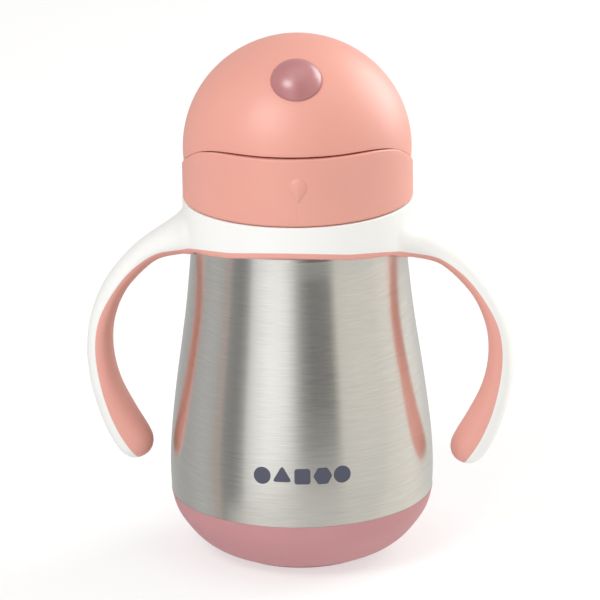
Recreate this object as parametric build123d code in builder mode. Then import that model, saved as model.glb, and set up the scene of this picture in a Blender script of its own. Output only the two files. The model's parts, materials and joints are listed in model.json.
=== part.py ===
from build123d import *
from math import asin, cos, degrees, pi, radians, sin, tan
import os

# Double-wall steel straw cup with a screw lid, a pivoting dome cover and two handles.
# Millimetres. Origin at the centre of the foot, +Z up, front of the lid towards -Y.

# ---- flask -------------------------------------------------------------------
BOOT_TOP = 19.2                  # height of the seam between boot and steel
BOWL_CENTRE = (17.13, 23.72)     # (radius, height) of the centre of the base's rounding
BOWL_AXES = (22.80, 23.72)       # half axes of the base's rounding, outside
BOOT_WALL = 1.6
FIT = 0.05                       # clearance between parts that are fixed together
FOOT_RADIUS = 22.0
FOOT_RECESS = (14.0, 0.6)        # radius and depth of the hollow under the foot
STEEL = 0.6
VACUUM_GAP = 2.9
BODY = [                         # (radius, height) up the outside of the steel
    (39.45, 19.25),
    (39.68, 26.0),
    (38.44, 44.0),
    (36.33, 60.0),
    (34.05, 76.0),
    (32.60, 90.0),
    (32.20, 98.6),
]
BODY_START = (0.05, 1)           # direction of the steel where it leaves the boot
SHOULDER_Z = 101.6
SHOULDER_ROUND = 2.6
NECK_RADIUS = 26.1
NECK_ROUND = 1.2
NECK_WALL = 0.5
RIM_Z = 111.6
BOTTOM_PLATE = 24.0              # radius of the welded outer bottom plate
INNER_PLATE = 22.0               # radius of the welded inner bottom plate
PLATE_ZONE = 10.0                # height below which a bottom plate takes the place of its wall
INNER_BOWL_AXES = (18.97, 18.60)
SEAL_HOLE = 1.0
GETTER = (4.0, 1.2)              # radius and height
GETTER_PLACE = (11.0, 0.0)
GETTER_ROUND = 0.3

# ---- screw thread -------------------------------------------------------------
THREAD_LEAD = 8.0
THREAD_STARTS = 2
RIDGE_BASE = 1.6
RIDGE_CREST = 0.8
RIDGE_HEIGHT = 1.0
RIDGE_ROOT = 0.25                # depth of a ridge's root inside its wall
NECK_RIDGE_Z = 105.2
NECK_RIDGE_TURNS = 0.6
LID_RIDGE_TURNS = 0.5
LID_RIDGE_START = 84.0           # degrees along the thread at which the lid's ridges begin
SKIRT_BORE = 27.4

# ---- handle ring and arms -------------------------------------------------------
HANDLE_YAW = -5.5                # the ring is free to turn on the neck
RING_RADIUS = 34.5
RING_TOP = 110.2
RING_SKIRT_BORE = 32.7
RING_BORE = 31.0
FLANGE_BORE = 27.0
FLANGE = (101.95, 103.4)         # bottom and top of the flange that sits on the shoulder
RING_EDGE = 0.5
ARCH_Z = 100.8                   # lower edge of the ring at the front
STRIP = 1.9                      # height of the soft strip under the ring
ARCH_DROP = 0.0051               # the ring's lower edge falls by this times x squared
PAST = 2.0                       # how far shapes and cuts run on past the material
# Cross-sections of one arm: outer point, inner point (x, z) and half width.
ARM_SECTIONS = [
    ((33.0, 108.8), (33.0, 93.2), 13.0),
    ((36.2, 104.7), (35.4, 92.1), 10.0),
    ((40.9, 100.8), (38.5, 90.9), 7.9),
    ((47.1, 96.1), (42.6, 89.3), 6.9),
    ((53.6, 89.8), (48.3, 84.8), 6.75),
    ((59.5, 81.5), (52.9, 78.9), 6.75),
    ((63.3, 71.5), (56.1, 70.2), 6.75),
    ((64.5, 60.6), (56.6, 60.8), 6.75),
    ((63.4, 50.1), (54.6, 51.7), 6.75),
    ((60.5, 39.7), (50.2, 42.7), 6.75),
    ((57.8, 33.5), (46.7, 36.8), 6.6),
    ((54.8, 29.0), (45.1, 31.7), 5.8),
    ((52.3, 27.3), (46.3, 28.9), 3.8),
]
# Line where the hard spine meets the soft lining, in the same plane.
CROWN_REACH = 33.1               # the line's arched crown runs this far from the middle
SPLIT_LINE = [
    (36.1, 94.9),
    (42.8, 92.6),
    (49.6, 88.2),
    (55.1, 81.5),
    (60.0, 72.0),
    (61.3, 61.9),
    (59.0, 47.4),
    (55.0, 36.8),
    (49.4, 27.6),
    (46.0, 22.0),
]

# ---- lid --------------------------------------------------------------------------
DOME_Z = 125.5                   # height of the dome's centre and of the cover's pivot
DOME_RADIUS = 33.68
COVER_INSIDE = 31.9
INNER_DOME = (30.0, 31.6)        # inside and outside radius
COLLAR_RADIUS = 34.36
COLLAR_BOTTOM = 110.5
COLLAR_BORE = 32.6
COLLAR_SPHERE = 31.7
SEAM_HEIGHT = 6.0                # front seam above the pivot
SEAM_BEND = 30.0
SEAM_SLOPE = radians(25.5)
LOBE_RADIUS = 4.2
COVER_GAP = 0.3
COVER_REAR = 102.0               # direction of the cover's rear edge, from the front over the top
COLLAR_REAR = 191.0
COLLAR_EDGE = 0.6
OUTSIDE = 60.0                   # reach of shapes that cut right through
EAR_FACE = 30.6
PIN_RADIUS = 2.6
PIN_TIP = 32.4
PIN_FIT = 0.06
BOSS_FACE = 30.3
BOSS_RADIUS = 8.6
BOSS_INSIDE = 27.5
LID_GAP = 0.1
DECK = (112.5, 114.5)
SKIRT_RADIUS = 29.0
SKIRT_BOTTOM = 103.8
DECK_RADIUS = 32.4
SLOT_WIDTH = 24.0
SLOT_REAR = 104.0
SLOT_LIP = 3.5
SLOT_CORNER = 7.0
PLUG = (22.8, 24.6)              # inside and outside radius of the centring plug
PLUG_BOTTOM = 108.8
GASKET = (24.9, 27.2)
GASKET_ROUND = 0.25
VALVE_STEM = 2.0
VALVE_FLANGE = 3.2
VALVE_HEIGHT = (1.0, 3.5)        # above and below the deck
VALVE_ROUND = 0.4
BUTTON_ANGLE = radians(51.5)
BUTTON_RADIUS = 7.4
BUTTON_SEAT = 32.44              # distance of the button's flat back from the dome's centre
BUTTON_TOP = 36.0
BUTTON_STUB = 3.0
BUTTON_EDGE = 33.4
BUTTON_LEAN = -0.25              # slope of the button's side at its edge
BUTTON_GAP = 0.1
DROP_RADIUS = 2.6
DROP_CENTRE = 122.3
DROP_POINT = 117.6
DROP_HEIGHT = 0.4
LINE_CUT = (0.35, 0.2)           # width and depth of the fine line

# ---- drinking parts -------------------------------------------------------------------
STRAW_Y = 3.0
STEM_RADIUS = 3.5
STRAW_BORE = 2.0
FOLD_BALL = 3.7                  # rounded knuckle where stem and tip meet
FOLD_Z = DOME_Z + 15.0
FOLD_REST = -35.0                # direction of the folded tip below the forward horizontal
TIP_LENGTH = 31.5
TIP_ROUND = 1.0
SWING_Z = 105.0
TUBE_RADIUS = 3.2
TUBE_BORE = 2.3
TUBE_BOTTOM = 17.0
TUBE_OVER = 1.5                  # the tube ends this far above its ball joint
WEIGHT_RADIUS = 8.5
WEIGHT = (11.5, 20.0, 28.0)      # bottom, joint and top of the weight's shells
WEIGHT_WALL = 1.1
WEIGHT_ROUND = 2.5
WEIGHT_NECK = 3.0
WEIGHT_RING = (14.2, 26.6)
WEIGHT_CHAMFER = 0.4
INLET_CIRCLE = 5.2
INLET_COUNT = 6
INLET_RADIUS = 0.9
STEM_FLANGE = 6.0
STEM_FLANGE_HEIGHT = 1.4
CONNECTOR_FLANGE = (6.0, 1.6)    # radius and thickness
CONNECTOR_STUB = 2.6             # the stub ends this far above the ball
CONNECTOR_NIPPLE = 6.0
CONNECTOR_NECK = 1.35
CONNECTOR_BALL = 2.1
CONNECTOR_BORE = 0.8
VALVE_PLACE = (-13.0, 12.0)

os.makedirs("parts", exist_ok=True)


def save(piece, label):
    """Label a finished piece and write its STEP file."""
    piece.label = label
    export_step(piece, f"parts/{label}.step")


def bowl_curve(axes, top):
    """Rounding of a vessel's base, from its flat bottom up to a height."""
    wide, tall = axes
    centre_radius, centre_z = BOWL_CENTRE
    end_sine = (centre_z - top) / tall
    points = []
    for share in (0, 0.25, 0.5, 0.75, 1):
        angle = asin(end_sine) + (pi / 2 - asin(end_sine)) * (1 - share)
        points.append((centre_radius + wide * cos(angle), centre_z - tall * sin(angle)))
    end_angle = asin(end_sine)
    return Spline(points, tangents=[(1, 0), (wide * sin(end_angle), tall * cos(end_angle))])


def shrink(axes, inset):
    """Half axes of a rounding moved in by inset."""
    return (axes[0] - inset, axes[1] - inset)


def close_at_axis(start, end):
    """Close an outline along the vessel's axis, from its last point to its first."""
    Line(end, (0, end[1]))
    Line((0, end[1]), (0, start[1]))
    Line((0, start[1]), start)


def outer_wall_outline(inset):
    """Outline of the outer wall's outside, moved in by inset."""
    seat = BOOT_WALL + FIT + inset
    bowl = bowl_curve(shrink(BOWL_AXES, seat), BOOT_TOP + inset)
    side = [(radius - inset, height) for radius, height in BODY]
    side[0] = (BODY[0][0] - inset, BODY[0][1] + inset)
    Line(bowl @ 1, side[0])
    Spline(side, tangents=[BODY_START, (0, 1)])
    edge = BODY[-1][0] - inset
    top = SHOULDER_Z - inset
    low = SHOULDER_Z - SHOULDER_ROUND
    flat = BODY[-1][0] - SHOULDER_ROUND
    neck = NECK_RADIUS - inset
    neck_start = NECK_RADIUS + NECK_ROUND
    Line(side[-1], (edge, low))
    CenterArc((flat, low), SHOULDER_ROUND - inset, 0, 90)
    Line((flat, top), (neck_start, top))
    CenterArc((neck_start, SHOULDER_Z + NECK_ROUND), NECK_ROUND + inset, 270, -90)
    Line((neck, SHOULDER_Z + NECK_ROUND), (neck, RIM_Z))
    start = bowl @ 0
    close_at_axis((start.X, start.Y), (neck, RIM_Z))


def inner_wall_outline(inset):
    """Outline of the inner wall's outside, moved in by inset."""
    bowl = bowl_curve(shrink(INNER_BOWL_AXES, inset), BOWL_CENTRE[1])
    loss = STEEL + VACUUM_GAP + inset
    neck = NECK_RADIUS - STEEL - inset
    side = [(radius - loss, height) for radius, height in BODY[1:-1]]
    Spline([bowl @ 1] + side + [(neck, SHOULDER_Z - STEEL)], tangents=[(0, 1), (0, 1)])
    Line((neck, SHOULDER_Z - STEEL), (neck, RIM_Z))
    start = bowl @ 0
    close_at_axis((start.X, start.Y), (neck, RIM_Z))


def thread_ridge(root_radius, crest_radius, start_angle, start_z, turns):
    """One helical ridge from root to crest radius, as a solid."""
    with BuildPart() as ridge:
        with BuildLine() as path:
            Helix(THREAD_LEAD, THREAD_LEAD * turns, root_radius)
        with BuildSketch(Plane(path.line @ 0, x_dir=(1, 0, 0), z_dir=path.line % 0)):
            reach = crest_radius - root_radius
            with BuildLine():
                Polyline(
                    (0, -RIDGE_BASE / 2),
                    (reach, -RIDGE_CREST / 2),
                    (reach, RIDGE_CREST / 2),
                    (0, RIDGE_BASE / 2),
                    close=True,
                )
            make_face()
        sweep(is_frenet=True)
    return Pos(0, 0, start_z) * Rot(0, 0, start_angle) * ridge.part


def arch(rise, reach):
    """Five points across the ring on its arched lower edge, lifted by rise, in the front view."""
    points = []
    for share in (-1, -0.5, 0, 0.5, 1):
        x = share * reach
        points.append((x, ARCH_Z + rise - ARCH_DROP * x * x))
    return points


# ==== flask ======================================================================
neck_ridge = thread_ridge(
    NECK_RADIUS - RIDGE_ROOT,
    NECK_RADIUS + RIDGE_HEIGHT,
    0,
    NECK_RIDGE_Z,
    NECK_RIDGE_TURNS,
)

with BuildPart() as outer_shell:
    with BuildSketch(Plane.XZ):
        with BuildLine():
            outer_wall_outline(0)
        make_face()
        with BuildLine():
            outer_wall_outline(STEEL)
        make_face(mode=Mode.SUBTRACT)
    revolve(axis=Axis.Z)

with BuildPart() as inner_shell:
    with BuildSketch(Plane.XZ):
        with BuildLine():
            inner_wall_outline(0)
        make_face()
        with BuildLine():
            inner_wall_outline(NECK_WALL)
        make_face(mode=Mode.SUBTRACT)
    revolve(axis=Axis.Z)

with BuildPart() as flask_outer_wall:
    add(outer_shell.part)
    with BuildSketch():
        Circle(BOTTOM_PLATE)
    extrude(amount=PLATE_ZONE, mode=Mode.SUBTRACT)
    with PolarLocations(0, THREAD_STARTS):
        add(neck_ridge)
save(flask_outer_wall.part, "flask_outer_wall")

seal_z = BOWL_CENTRE[1] - BOWL_AXES[1] + BOOT_WALL + FIT
with BuildPart() as flask_outer_bottom:
    add(outer_shell.part)
    with BuildSketch():
        Circle(BOTTOM_PLATE)
    extrude(amount=PLATE_ZONE, mode=Mode.INTERSECT)
    with BuildSketch():
        Circle(SEAL_HOLE)
    extrude(amount=PLATE_ZONE, mode=Mode.SUBTRACT)
save(flask_outer_bottom.part, "flask_outer_bottom")

with BuildPart() as vacuum_seal_bead:
    with BuildSketch(Plane.XY.offset(seal_z)):
        Circle(SEAL_HOLE)
    extrude(amount=STEEL)
    with BuildSketch(Plane.XY.offset(seal_z)):
        Circle(SEAL_HOLE)
    extrude(amount=-FIT / 2)
save(vacuum_seal_bead.part, "vacuum_seal_bead")

with BuildPart() as vacuum_getter:
    with BuildSketch(Plane.XY.offset(seal_z + STEEL)):
        with Locations(GETTER_PLACE):
            Circle(GETTER[0])
    extrude(amount=GETTER[1])
    fillet(vacuum_getter.faces().sort_by(Axis.Z)[-1].edges(), GETTER_ROUND)
save(vacuum_getter.part, "vacuum_getter")

with BuildPart() as flask_inner_wall:
    add(inner_shell.part)
    with BuildSketch():
        Circle(INNER_PLATE)
    extrude(amount=PLATE_ZONE, mode=Mode.SUBTRACT)
save(flask_inner_wall.part, "flask_inner_wall")

with BuildPart() as flask_inner_bottom:
    add(inner_shell.part)
    with BuildSketch():
        Circle(INNER_PLATE)
    extrude(amount=PLATE_ZONE, mode=Mode.INTERSECT)
save(flask_inner_bottom.part, "flask_inner_bottom")

with BuildPart() as base_boot:
    with BuildSketch(Plane.XZ):
        with BuildLine():
            bowl = bowl_curve(BOWL_AXES, BOOT_TOP)
            start = bowl @ 0
            end = bowl @ 1
            close_at_axis((start.X, start.Y), (end.X, end.Y))
        make_face()
        with BuildLine():
            Polyline((0, 0), (FOOT_RADIUS, 0), (FOOT_RADIUS, BOOT_WALL), (0, BOOT_WALL), close=True)
        make_face()
        with BuildLine():
            bowl = bowl_curve(shrink(BOWL_AXES, BOOT_WALL), BOOT_TOP)
            start = bowl @ 0
            end = bowl @ 1
            close_at_axis((start.X, start.Y), (end.X, end.Y))
        make_face(mode=Mode.SUBTRACT)
        with BuildLine():
            recess, depth = FOOT_RECESS
            Polyline((0, 0), (recess, 0), (recess - depth, depth), (0, depth), close=True)
        make_face(mode=Mode.SUBTRACT)
    revolve(axis=Axis.Z)
save(base_boot.part, "base_boot")

# ==== handle ring and arms ============================================================
# The ring is drawn square to the axes and then turned by HANDLE_YAW.
with BuildPart() as arm:
    for outer, inner, half_width in ARM_SECTIONS:
        middle = ((outer[0] + inner[0]) / 2, 0, (outer[1] + inner[1]) / 2)
        across = Vector(outer[0] - inner[0], 0, outer[1] - inner[1])
        with BuildSketch(Plane(middle, x_dir=across, z_dir=across.cross(Vector(0, 1, 0)))):
            Ellipse(across.length / 2, half_width)
    loft()

with BuildPart() as ring:
    with BuildSketch(Plane.XZ):
        with BuildLine():
            low = ARCH_Z - ARCH_DROP * RING_RADIUS ** 2 - PAST
            Polyline(
                (RING_SKIRT_BORE, low),
                (RING_RADIUS, low),
                (RING_RADIUS, RING_TOP),
                (RING_BORE, RING_TOP),
                (RING_BORE, FLANGE[1]),
                (FLANGE_BORE, FLANGE[1]),
                (FLANGE_BORE, FLANGE[0]),
                (RING_SKIRT_BORE, FLANGE[0]),
                close=True,
            )
        make_face()
    revolve(axis=Axis.Z)
    fillet(ring.edges().group_by(Axis.Z)[-1].sort_by(SortBy.RADIUS)[-1], RING_EDGE)


# Everything below the line between spine and lining, seen from the front.
with BuildPart() as soft_zone:
    with BuildSketch(Plane.XZ):
        with BuildLine():
            crown = arch(STRIP, CROWN_REACH)[2:]
            right = crown + SPLIT_LINE
            left = [(-x, z) for x, z in reversed(right[1:])]
            edge = Spline(left + right)
            Line(edge @ 1, edge @ 0)
        make_face()
    extrude(amount=OUTSIDE, both=True)

# Everything below the ring's arched lower edge.
with BuildPart() as under_arch:
    with BuildSketch(Plane.XZ):
        with BuildLine():
            edge = Spline(arch(0, RING_RADIUS + PAST))
            Polyline(edge @ 1, (RING_RADIUS + PAST, 0), (-RING_RADIUS - PAST, 0), edge @ 0)
        make_face()
    extrude(amount=OUTSIDE, both=True)

with BuildPart() as handle_blank:
    add(ring.part)
    add(under_arch.part, mode=Mode.SUBTRACT)
    with PolarLocations(0, 2):
        add(arm.part)
    with BuildSketch(Plane.XY.offset(FLANGE[1])):
        Circle(RING_BORE)
    extrude(amount=OUTSIDE, mode=Mode.SUBTRACT)
    with BuildSketch():
        Circle(RING_SKIRT_BORE)
    extrude(amount=FLANGE[0], mode=Mode.SUBTRACT)

with BuildPart() as square_frame:
    add(handle_blank.part)
    add(soft_zone.part, mode=Mode.SUBTRACT)

with BuildPart() as square_grip:
    add(handle_blank.part)
    add(soft_zone.part, mode=Mode.INTERSECT)

with BuildPart() as handle_frame:
    add(square_frame.part, rotation=(0, 0, HANDLE_YAW))
save(handle_frame.part, "handle_frame")

with BuildPart() as handle_grip:
    add(square_grip.part, rotation=(0, 0, HANDLE_YAW))
save(handle_grip.part, "handle_grip")

# ==== lid =================================================================================
DOME_CENTRE = (0, 0, DOME_Z)
SIDE_VIEW = Plane(origin=DOME_CENTRE, x_dir=(0, 1, 0), z_dir=(1, 0, 0))


def cover_outline(gap, rear):
    """Side view of the space above seam, pivot lobe and rear edge, grown by gap."""
    lobe = LOBE_RADIUS + gap
    bend = SEAM_BEND - gap
    height = SEAM_HEIGHT - gap
    low = (-lobe * sin(SEAM_SLOPE), -lobe * cos(SEAM_SLOPE))
    bend_z = height - bend * (1 - cos(SEAM_SLOPE))
    bend_y = low[0] - (bend_z - low[1]) / tan(SEAM_SLOPE)
    flat_y = bend_y - bend * sin(SEAM_SLOPE)
    turn = 180 + degrees(SEAM_SLOPE) - rear
    rear_edge = (sin(radians(rear)), cos(radians(rear)))
    rear_start = (lobe * rear_edge[0], lobe * rear_edge[1])
    rear_end = (rear_start[0] - OUTSIDE * rear_edge[1], rear_start[1] + OUTSIDE * rear_edge[0])
    Line((-OUTSIDE, height), (flat_y, height))
    JernArc((flat_y, height), (1, 0), bend, -degrees(SEAM_SLOPE))
    Line((bend_y, bend_z), low)
    CenterArc((0, 0), lobe, 270 - degrees(SEAM_SLOPE), turn)
    Polyline(rear_start, rear_end, (OUTSIDE, OUTSIDE), (-OUTSIDE, OUTSIDE), (-OUTSIDE, height))


with BuildPart() as cover_space:
    with BuildSketch(SIDE_VIEW):
        with BuildLine():
            cover_outline(0, COVER_REAR)
        make_face()
    extrude(amount=OUTSIDE, both=True)

with BuildPart() as collar_cut:
    with BuildSketch(SIDE_VIEW):
        with BuildLine():
            cover_outline(COVER_GAP, COLLAR_REAR)
        make_face()
    extrude(amount=OUTSIDE, both=True)

BUTTON_AXIS = Vector(0, -cos(BUTTON_ANGLE), sin(BUTTON_ANGLE))
BUTTON_PLANE = Plane(origin=DOME_CENTRE, x_dir=(1, 0, 0), z_dir=BUTTON_AXIS)
BUTTON_SECTION = Plane(origin=DOME_CENTRE, x_dir=(1, 0, 0), z_dir=Vector(1, 0, 0).cross(BUTTON_AXIS))

with BuildPart() as cover_shell:
    with Locations(DOME_CENTRE):
        Sphere(DOME_RADIUS)
        Sphere(COVER_INSIDE, mode=Mode.SUBTRACT)

with BuildPart() as dome_cover:
    with Locations(DOME_CENTRE):
        Cylinder(LOBE_RADIUS, 2 * DOME_RADIUS, rotation=(0, 90, 0))
        Box(2 * EAR_FACE, DOME_RADIUS, DOME_RADIUS, mode=Mode.SUBTRACT)
        Sphere(DOME_RADIUS, mode=Mode.INTERSECT)
    add(cover_shell.part)
    add(cover_space.part, mode=Mode.INTERSECT)
    with Locations(DOME_CENTRE):
        bore_length = 2 * (PIN_TIP + COVER_GAP)
        Cylinder(PIN_RADIUS + PIN_FIT, bore_length, rotation=(0, 90, 0), mode=Mode.SUBTRACT)
    with BuildSketch(BUTTON_PLANE.offset(BUTTON_SEAT)):
        Circle(BUTTON_RADIUS + BUTTON_GAP)
    extrude(amount=DOME_RADIUS - BUTTON_SEAT + PAST, mode=Mode.SUBTRACT)
    with BuildSketch(BUTTON_PLANE.offset(BUTTON_SEAT)):
        Circle(BUTTON_STUB)
    extrude(amount=-2 * STEEL, mode=Mode.SUBTRACT)
save(dome_cover.part, "dome_cover")

with BuildPart() as dome_button:
    with BuildSketch(BUTTON_SECTION):
        with BuildLine():
            rim = (BUTTON_RADIUS, BUTTON_EDGE)
            Polyline((0, BUTTON_TOP), (0, BUTTON_SEAT), (BUTTON_RADIUS, BUTTON_SEAT), rim)
            Spline(rim, (0, BUTTON_TOP), tangents=[(BUTTON_LEAN, 1), (-1, 0)])
        make_face()
    revolve(axis=Axis(DOME_CENTRE, BUTTON_AXIS))
    with BuildSketch(BUTTON_PLANE.offset(BUTTON_SEAT)):
        Circle(BUTTON_STUB)
    extrude(amount=-STEEL / 2)
save(dome_button.part, "dome_button")

# Drop-shaped relief on the front of the collar.
with BuildPart() as drop_relief:
    with BuildSketch(Plane.XZ.offset(COLLAR_SPHERE)):
        with Locations((0, DROP_CENTRE)):
            Circle(DROP_RADIUS)
        with BuildLine():
            side = asin(DROP_RADIUS / (DROP_CENTRE - DROP_POINT))
            touch = (DROP_RADIUS * cos(side), DROP_CENTRE - DROP_RADIUS * sin(side))
            Polyline((0, DROP_POINT), touch, (-touch[0], touch[1]), close=True)
        make_face()
    extrude(amount=DOME_RADIUS)
    with BuildSketch(Plane.XY.offset(COLLAR_BOTTOM)):
        Circle(COLLAR_RADIUS + DROP_HEIGHT)
        Circle(COLLAR_BORE + FIT, mode=Mode.SUBTRACT)
    extrude(amount=DOME_RADIUS, mode=Mode.INTERSECT)

with BuildPart() as lid_collar:
    with BuildSketch(Plane.XY.offset(COLLAR_BOTTOM)):
        Circle(COLLAR_RADIUS)
    extrude(amount=DOME_Z + SEAM_HEIGHT - COLLAR_BOTTOM)
    with BuildSketch(Plane.XY.offset(COLLAR_BOTTOM)):
        Circle(COLLAR_BORE)
    extrude(amount=DECK[1] + LID_GAP - COLLAR_BOTTOM, mode=Mode.SUBTRACT)
    with Locations(DOME_CENTRE):
        Sphere(COLLAR_SPHERE, mode=Mode.SUBTRACT)
    add(collar_cut.part, mode=Mode.SUBTRACT)
    front_edges = lid_collar.edges().filter_by(GeomType.CIRCLE).group_by(Axis.Z)[-1]
    fillet(front_edges.sort_by(SortBy.RADIUS)[-1], COLLAR_EDGE)
    add(drop_relief.part)
    with Locations((0, -COLLAR_RADIUS, (COLLAR_BOTTOM + DROP_POINT) / 2)):
        Box(LINE_CUT[0], 2 * LINE_CUT[1], DROP_POINT - COLLAR_BOTTOM, mode=Mode.SUBTRACT)
save(lid_collar.part, "lid_collar")

slot_far = (-OUTSIDE * cos(radians(SLOT_REAR)), OUTSIDE * sin(radians(SLOT_REAR)))
slot_back = Axis(DOME_CENTRE, (0, slot_far[0], slot_far[1] - SLOT_LIP))

with BuildPart() as slot_cut:
    with BuildSketch(SIDE_VIEW):
        with BuildLine():
            Polyline((-OUTSIDE, SLOT_LIP), (0, SLOT_LIP), slot_far, (-OUTSIDE, OUTSIDE), close=True)
        make_face()
    extrude(amount=SLOT_WIDTH / 2, both=True)
    fillet(slot_cut.edges().filter_by(Axis.Y).group_by(Axis.Z)[0], SLOT_CORNER)
    fillet(slot_cut.edges().filter_by(slot_back), SLOT_CORNER)

with BuildPart() as pins:
    with Locations(DOME_CENTRE):
        Cylinder(PIN_RADIUS, 2 * PIN_TIP, rotation=(0, 90, 0))
        Box(2 * BOSS_INSIDE, 2 * BOSS_RADIUS, 2 * BOSS_RADIUS, mode=Mode.SUBTRACT)

with BuildPart() as inner_dome:
    with Locations(DOME_CENTRE):
        Sphere(INNER_DOME[1])
        Sphere(INNER_DOME[0], mode=Mode.SUBTRACT)
        Cylinder(BOSS_RADIUS, 2 * BOSS_FACE, rotation=(0, 90, 0))
        Box(2 * BOSS_INSIDE, 2 * BOSS_RADIUS, 2 * BOSS_RADIUS, mode=Mode.SUBTRACT)
        Box(2 * BOSS_FACE, 4 * BOSS_FACE, 4 * BOSS_FACE, mode=Mode.INTERSECT)
    with BuildSketch(Plane.XY.offset(DECK[1])):
        Rectangle(2 * OUTSIDE, 2 * OUTSIDE)
    extrude(amount=OUTSIDE, mode=Mode.INTERSECT)
    add(slot_cut.part, mode=Mode.SUBTRACT)
    add(pins.part)
save(inner_dome.part, "inner_dome")

lid_ridge_z = NECK_RIDGE_Z + THREAD_LEAD * LID_RIDGE_START / 360 - THREAD_LEAD / THREAD_STARTS / 2
lid_ridge = thread_ridge(
    SKIRT_BORE + RIDGE_ROOT,
    SKIRT_BORE - RIDGE_HEIGHT,
    LID_RIDGE_START,
    lid_ridge_z,
    LID_RIDGE_TURNS,
)

with BuildPart() as lid_insert:
    with BuildSketch(Plane.XY.offset(DECK[0])):
        Circle(DECK_RADIUS)
        with Locations((0, STRAW_Y)):
            Circle(STEM_RADIUS + FIT, mode=Mode.SUBTRACT)
        with Locations(VALVE_PLACE):
            Circle(VALVE_STEM + FIT, mode=Mode.SUBTRACT)
    extrude(amount=DECK[1] - DECK[0])
    with BuildSketch(Plane.XY.offset(SKIRT_BOTTOM)):
        Circle(SKIRT_RADIUS)
        Circle(SKIRT_BORE, mode=Mode.SUBTRACT)
    extrude(amount=DECK[0] - SKIRT_BOTTOM)
    with BuildSketch(Plane.XY.offset(PLUG_BOTTOM)):
        Circle(PLUG[1])
        Circle(PLUG[0], mode=Mode.SUBTRACT)
    extrude(amount=DECK[0] - PLUG_BOTTOM)
    with PolarLocations(0, THREAD_STARTS):
        add(lid_ridge)
save(lid_insert.part, "lid_insert")

with BuildPart() as mouth_gasket:
    with BuildSketch(Plane.XZ):
        with Locations(((GASKET[0] + GASKET[1]) / 2, (RIM_Z + DECK[0]) / 2)):
            RectangleRounded(GASKET[1] - GASKET[0], DECK[0] - RIM_Z - LID_GAP, GASKET_ROUND)
    revolve(axis=Axis.Z)
save(mouth_gasket.part, "mouth_gasket")

with BuildPart() as vent_valve:
    with BuildSketch(Plane.XY.offset(DECK[1])):
        with Locations(VALVE_PLACE):
            Circle(VALVE_FLANGE)
    extrude(amount=VALVE_HEIGHT[0])
    fillet(vent_valve.faces().sort_by(Axis.Z)[-1].edges(), VALVE_ROUND)
    with BuildSketch(Plane.XY.offset(DECK[1])):
        with Locations(VALVE_PLACE):
            Circle(VALVE_STEM)
    extrude(amount=-VALVE_HEIGHT[1])
    with BuildSketch(Plane.XY.offset(DECK[1] + VALVE_HEIGHT[0])):
        with Locations(VALVE_PLACE):
            Circle(VALVE_STEM / 2)
    extrude(amount=-VALVE_HEIGHT[1], mode=Mode.SUBTRACT)
save(vent_valve.part, "vent_valve")

# ==== drinking parts =====================================================================
FOLD = (0, STRAW_Y, FOLD_Z)
STRAW_FOOT = (0, STRAW_Y, 0)
tip_angle = radians(FOLD_REST)
TIP_AXIS = Vector(0, -cos(tip_angle), sin(tip_angle))
TIP_PLANE = Plane(origin=FOLD, x_dir=(1, 0, 0), z_dir=TIP_AXIS)
mitre_angle = radians((FOLD_REST - 90) / 2)
MITRE_ALONG = Vector(0, -cos(mitre_angle), sin(mitre_angle))
MITRE_PLANE = Plane(origin=FOLD, x_dir=(1, 0, 0), z_dir=MITRE_ALONG.cross(Vector(1, 0, 0)))

with BuildPart() as stem_side:
    with BuildSketch(MITRE_PLANE.offset(-COVER_GAP)):
        Rectangle(OUTSIDE, OUTSIDE)
    extrude(amount=-OUTSIDE)

with BuildPart() as tip_side:
    with BuildSketch(MITRE_PLANE):
        Rectangle(OUTSIDE, OUTSIDE)
    extrude(amount=OUTSIDE)

with BuildPart() as mouthpiece_stem:
    with BuildSketch(Plane(STRAW_FOOT).offset(DECK[0])):
        Circle(STEM_RADIUS)
    extrude(amount=FOLD_Z - DECK[0])
    with Locations(FOLD):
        Sphere(FOLD_BALL + COVER_GAP, mode=Mode.SUBTRACT)
    add(stem_side.part, mode=Mode.INTERSECT)
    with BuildSketch(Plane(STRAW_FOOT).offset(DECK[1])):
        Circle(STEM_FLANGE)
    extrude(amount=STEM_FLANGE_HEIGHT)
    with BuildSketch(Plane(STRAW_FOOT).offset(DECK[0])):
        Circle(STRAW_BORE)
    extrude(amount=FOLD_Z - DECK[0], mode=Mode.SUBTRACT)
save(mouthpiece_stem.part, "mouthpiece_stem")

with BuildPart() as mouthpiece_tip:
    with BuildSketch(TIP_PLANE):
        Circle(STEM_RADIUS)
    extrude(amount=TIP_LENGTH)
    fillet(mouthpiece_tip.faces().sort_by(Axis(FOLD, TIP_AXIS))[-1].edges(), TIP_ROUND)
    add(tip_side.part, mode=Mode.INTERSECT)
    with Locations(FOLD):
        Sphere(FOLD_BALL)
    with BuildSketch(TIP_PLANE):
        Circle(STRAW_BORE)
    extrude(amount=TIP_LENGTH, mode=Mode.SUBTRACT)
    with BuildSketch(Plane(FOLD)):
        Circle(STRAW_BORE)
    extrude(amount=-2 * STEM_RADIUS, mode=Mode.SUBTRACT)
save(mouthpiece_tip.part, "mouthpiece_tip")

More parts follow.
